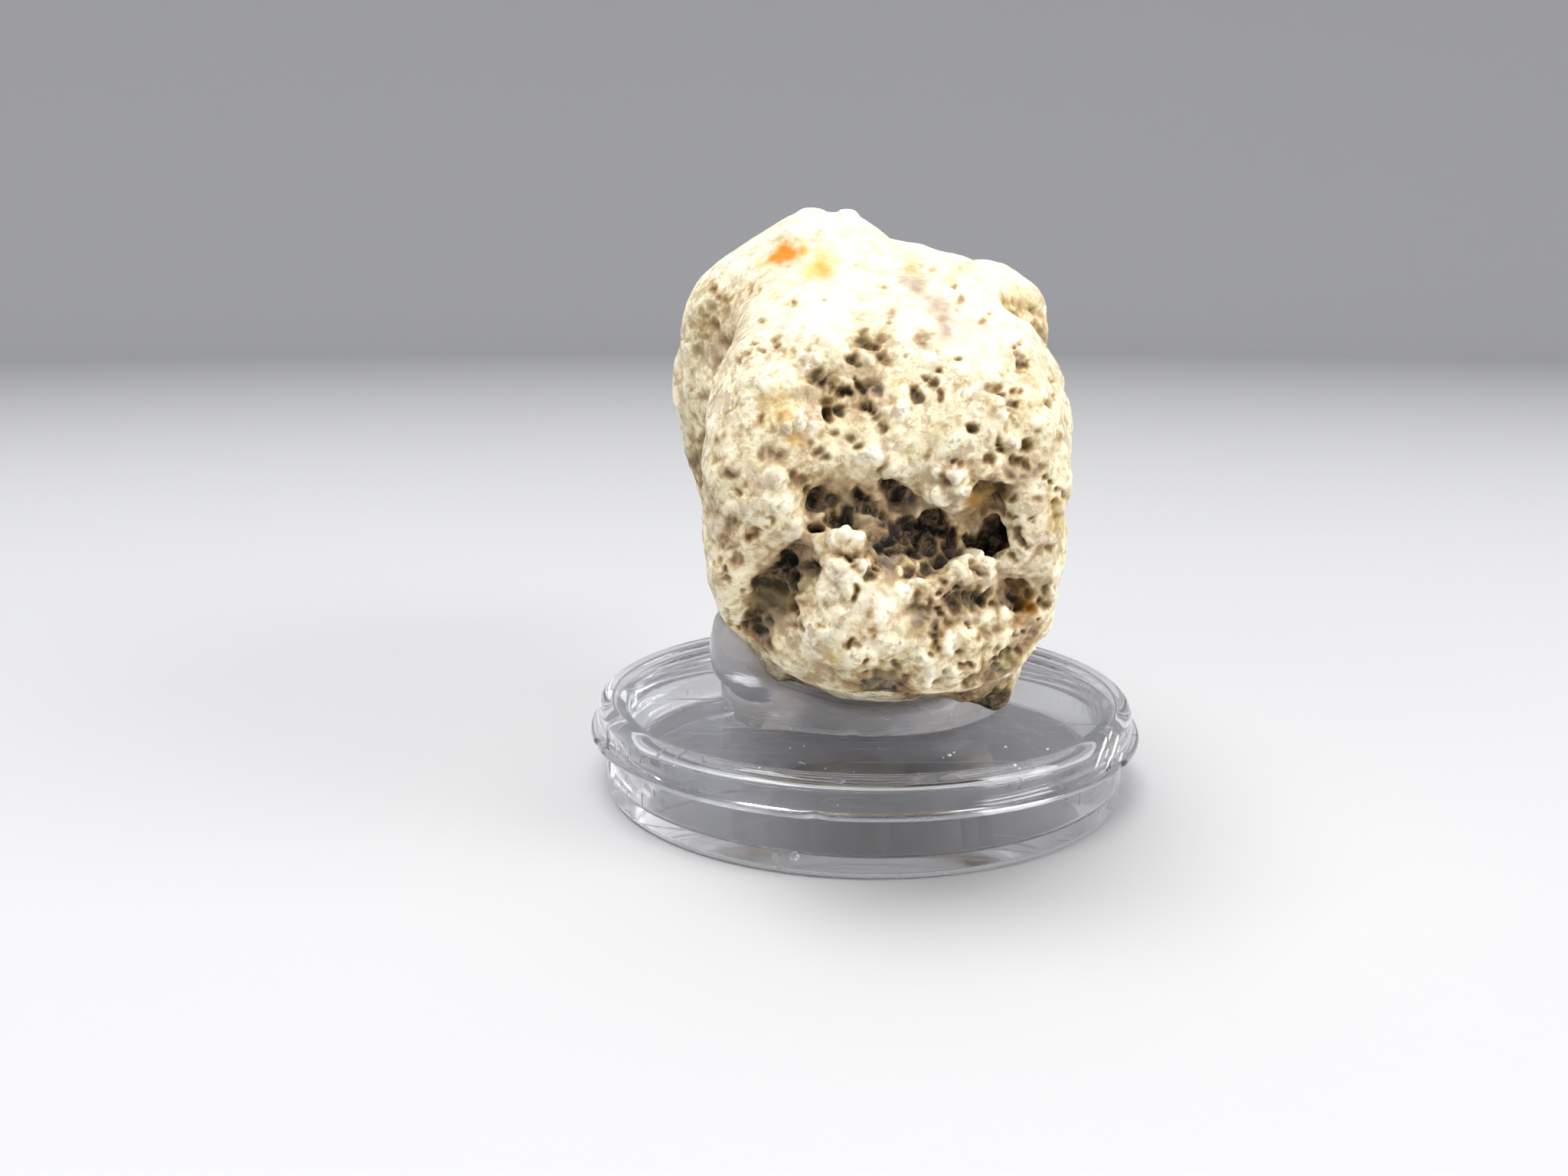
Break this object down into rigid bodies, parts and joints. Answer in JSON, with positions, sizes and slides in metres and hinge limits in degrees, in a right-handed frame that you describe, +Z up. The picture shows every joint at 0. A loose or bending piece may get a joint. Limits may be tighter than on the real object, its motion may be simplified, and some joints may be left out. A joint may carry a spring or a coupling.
{
  "type": "fossil tooth on a capsule stand",
  "caption": "Fossil mosasaur tooth with its broken root, lying on a wad of clear putty on the lid of a closed round clear plastic capsule.",
  "frame": {"origin": "centre of the capsule's flat underside, on the surface that it stands on", "axes": "+Z up; +Y from the root's broken end to the crown's tip; +X to the right of someone facing the broken end"},
  "size_m": [0.038, 0.0621, 0.0382],
  "materials": {
    "fossil": "rough, pitted fossil bone with a smoother enamel crown",
    "putty": "translucent, pressed by hand",
    "clear_lid": "clear moulded plastic, lightly scratched",
    "clear_base": "clear moulded plastic, lightly scratched"
  },
  "bodies": {
    "root": {"mosasaur_tooth": "fossil", "mounting_putty": "putty", "capsule_lid": "clear_lid", "capsule_base": "clear_base"}
  },
  "joints": []
}
